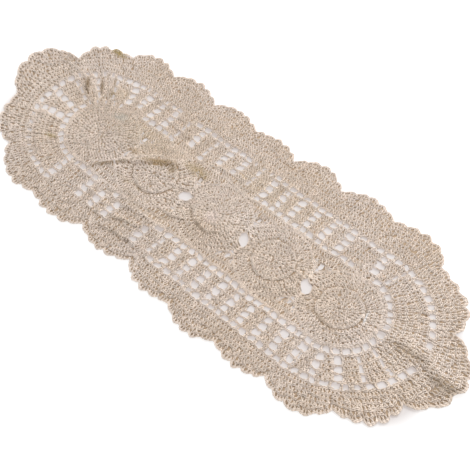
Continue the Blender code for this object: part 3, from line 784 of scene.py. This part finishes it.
def holed_round(number):
    """The stitches of a holed round: two rows of half treble on its blocks, chains over its holes."""
    _, hole_inner, hole_outer, *_ = HOLE_ROUNDS[number]
    inner, outer = ROUND_LINES[number:number + 2]
    reach = (inner + outer) / 2
    total = float(mm_round(4, reach))
    turns = [mm_round(np.array(hole[:2]), reach) for hole in holes[number]]
    blocks, block_widths, chains, chain_widths = [], [], [], []
    for k, (start, end) in enumerate(turns):
        following = turns[(k + 1) % len(turns)][0] + (total if k + 1 == len(turns) else 0)
        for a, b, at, widths in ((start, end, chains, chain_widths),
                                 (end, following, blocks, block_widths)):
            count = max(1, round((b - a) / STITCH))
            for i in range(count):
                at.append(a + (b - a) * (i + 0.5) / count)
                widths.append((b - a) / count)
    parts = [worked(stitch, way_at(np.array(at) % total, reach), np.array(widths), level(low),
                    level(high), pace_at(reach), on_surround)
             for stitch, at, widths, low, high in ((half_treble, blocks, block_widths, inner, reach),
                                                   (half_treble, blocks, block_widths, reach, outer),
                                                   (chain_link, chains, chain_widths, inner, outer))]
    sides = mm_round(np.array([hole[:2] for hole in holes[number] if hole[2]]), reach)
    parts.append(worked(hole_lining, way_at(sides.mean(1), reach), np.ptp(sides, axis=1),
                        level(hole_inner - LINING_IN), level(hole_outer + LINING_OUT),
                        pace_at(reach), on_surround))
    return parts


JOIN_REACH = 54.5             # about where the joins' stitches are counted
CHAIN_OUT = 0.8               # how far a chain lies outside the line that it follows
# rows in the corners: the reaches that they start from, their height, and how much of it the
# window may take
CORNER_ROWS, CORNER_ROW, CORNER_TAKEN = (26.0, 36.0, 45.5), 9.7, 8.0


def outside(line, out):
    """A line that lies a little outside another."""
    return lambda way: line(way) + out


def row_start(reach):
    """The line that a row in a corner starts from: its reach, or the window where that is further."""
    return lambda way: np.maximum(window(way), reach)


parts = holed_round(0)
for followed in (window, level(ROUND_LINES[0])):
    ways, widths = full_round(JOIN_REACH)
    chain_line = outside(followed, CHAIN_OUT)
    parts.append(worked(chain_link, ways, widths, chain_line, chain_line, pace_at(JOIN_REACH),
                        on_surround))
for reach in CORNER_ROWS:
    ways, widths = full_round(JOIN_REACH)
    at_hole = (reach == CORNER_ROWS[0]) & at_join_hole(ways)
    keep = (row_start(reach)(ways) < reach + CORNER_TAKEN) & (ways % 2 < 1) & ~at_hole
    parts.append(worked(half_treble, ways[keep], widths[keep], row_start(reach),
                        level(reach + CORNER_ROW), pace_at(JOIN_REACH), on_surround))
surround_stitches = [crocheted("inner_mesh", parts)]

# ---------------------------------------------------------------------------------------------
# The ladder and the outer mesh. Three rounds of half treble blocks with chains between them stand
# in line, so that their holes climb like the rungs of a ladder. A round of smaller blocks and
# holes closes them. They are worked straight on in the same cotton.

for number, name in enumerate(("ladder_round_1", "ladder_round_2", "ladder_round_3", "outer_mesh"), 1):
    surround_stitches.append(crocheted(name, holed_round(number)))

# ---------------------------------------------------------------------------------------------
# The edging. Three solid rounds of half treble, and then shells of four in rows that follow the
# rim of each of the twenty scallops, so that the inner rows run out where a scallop meets the
# next. A chain is worked along the rim to finish it.

SOLID_ROUNDS, SOLID_REACH = 3, 118.0   # how many, and about where their stitches are counted
SHELL, SHELL_ROW, SHELL_PLUMP = 4, 6.4, 0.93   # stitches in a shell, a row's height, how full
RIM_REACH = 146.0             # about where the first row's stitches are counted
RIM_IN, LEAST_ROW = 0.9, 2.6  # how far inside the rim the first row ends, and the least room for one
ROW_UNEVEN = (0.4, 1.0, 1.0, 1.0, 1.0, 1.0)   # how uneven each row is, from the rim inwards
LOBED_ROWS = 2                # the rows that follow the lobes of the rim
RIM_CHAIN_OUT, RIM_CHAIN_PLUMP, RIM_CHAIN_UNEVEN = 0.5, 1.15, 0.3   # it lies just past that row


def solid_line(share):
    """The line at a share of the way from the outer mesh to the shells."""
    return lambda way: ROUND_LINES[-1] + (shell_base(way) - ROUND_LINES[-1]) * share


def row_top(row):
    """The line that a row of shells reaches, where rows are counted from the rim inwards."""
    return lambda way: rim(way, lobed=row < LOBED_ROWS) - RIM_IN - SHELL_ROW * row


def row_foot(row):
    """The line that a row of shells grows from."""
    return lambda way: np.maximum(row_top(row)(way) - SHELL_ROW, shell_base(way))


parts = []
for k in range(SOLID_ROUNDS):
    ways, widths = full_round(SOLID_REACH)
    parts.append(worked(half_treble, ways, widths, solid_line(k / SOLID_ROUNDS),
                        solid_line((k + 1) / SOLID_ROUNDS), pace_at(SOLID_REACH), on_surround))
surround_stitches.append(crocheted("solid_rounds", parts))

for row, uneven in enumerate(ROW_UNEVEN):
    row_reach = RIM_REACH - SHELL_ROW * row
    ways, widths = full_round(row_reach)
    keep = row_top(row)(ways) > shell_base(ways) + LEAST_ROW
    parts = [worked(half_treble, ways[keep], widths[keep], row_foot(row), row_top(row),
                    pace_at(row_reach), on_surround, SHELL, SHELL_PLUMP, uneven)]
    if row == 0:
        rim_chain = outside(row_top(row), RIM_CHAIN_OUT)
        parts.append(worked(chain_link, ways, widths, rim_chain, rim_chain, pace_at(row_reach),
                            on_surround, plump=RIM_CHAIN_PLUMP, uneven=RIM_CHAIN_UNEVEN))
    surround_stitches.append(crocheted(f"shell_row_{row + 1}", parts))
